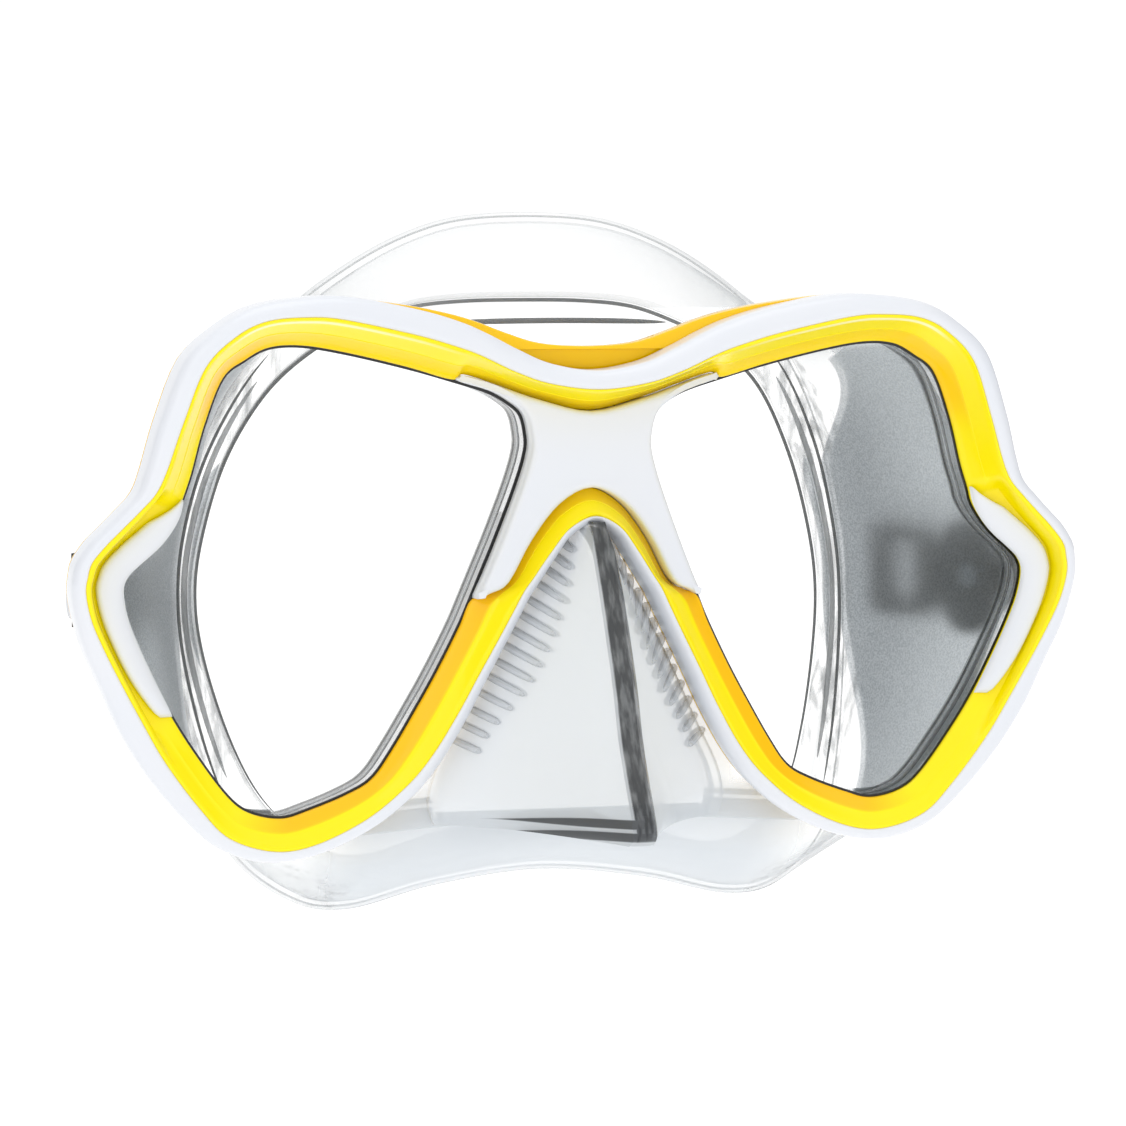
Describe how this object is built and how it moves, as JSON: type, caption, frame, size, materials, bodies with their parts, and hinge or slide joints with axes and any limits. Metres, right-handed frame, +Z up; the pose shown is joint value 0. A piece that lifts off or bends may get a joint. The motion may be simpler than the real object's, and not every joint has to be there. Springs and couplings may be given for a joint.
{
  "type": "snorkel mask",
  "caption": "Twin-lens snorkel mask with a clear silicone skirt and nose pocket, a yellow and white frame and swivelling strap buckles.",
  "frame": {"origin": "centre of the flat pad on the front of the bridge cover, between the lenses", "axes": "+X to the viewer's right across the mask, +Y from the lenses back to the wearer's face, +Z up the face"},
  "size_m": [0.1756, 0.0796, 0.1199],
  "materials": {
    "clear_silicone": "clear glossy silicone, frosted on the side walls, matte on the nose",
    "lens_glass": "clear tempered glass, polished",
    "yellow_gloss": "glossy, slightly translucent yellow",
    "white_satin": "pearl white, satin gloss",
    "black_plastic": "black, lightly grained",
    "steel": "stainless steel"
  },
  "bodies": {
    "mask": {"skirt": "clear_silicone", "lens_left": "lens_glass", "lens_right": "lens_glass", "main_frame": "yellow_gloss", "front_bezel": "yellow_gloss", "outer_trim": "white_satin", "bridge_cover": "white_satin", "temple_cover_left": "white_satin", "temple_cover_right": "white_satin", "anchor_plate_left": "black_plastic", "anchor_plate_right": "black_plastic", "swivel_pin_left": "steel", "swivel_pin_right": "steel"},
    "buckle_left": {"buckle_body_left": "black_plastic", "roller_axle_left": "steel", "lever_pin_left": "steel", "lever_spring_left": "steel"},
    "roller_left": {"strap_roller_left": "black_plastic"},
    "lever_left": {"release_lever_left": "black_plastic"},
    "buckle_right": {"buckle_body_right": "black_plastic", "roller_axle_right": "steel", "lever_pin_right": "steel", "lever_spring_right": "steel"},
    "roller_right": {"strap_roller_right": "black_plastic"},
    "lever_right": {"release_lever_right": "black_plastic"}
  },
  "joints": [
    {"name": "buckle_swivel_left", "type": "hinge", "parent": "mask", "child": "buckle_left", "pos_m": [-0.07535, 0.02286, -0.0255], "axis": [-0.9261, 0.3773, 0], "range_deg": [-35, 35]},
    {"name": "roller_spin_left", "type": "hinge", "parent": "buckle_left", "child": "roller_left", "pos_m": [-0.07436, 0.03854, -0.0255], "axis": [0, 0, 1], "continuous": true},
    {"name": "lever_hinge_left", "type": "hinge", "parent": "buckle_left", "child": "lever_left", "pos_m": [-0.08029, 0.03459, -0.0255], "axis": [0, 0, 1], "range_deg": [0, 30], "stiffness_Nm_per_rad": 0.01, "springref_deg": -20.05},
    {"name": "buckle_swivel_right", "type": "hinge", "parent": "mask", "child": "buckle_right", "pos_m": [0.07535, 0.02286, -0.0255], "axis": [0.9261, 0.3773, 0], "range_deg": [-35, 35]},
    {"name": "roller_spin_right", "type": "hinge", "parent": "buckle_right", "child": "roller_right", "pos_m": [0.07436, 0.03854, -0.0255], "axis": [0, 0, 1], "continuous": true},
    {"name": "lever_hinge_right", "type": "hinge", "parent": "buckle_right", "child": "lever_right", "pos_m": [0.08029, 0.03459, -0.0255], "axis": [0, 0, -1], "range_deg": [0, 30], "stiffness_Nm_per_rad": 0.01, "springref_deg": -20.05}
  ]
}
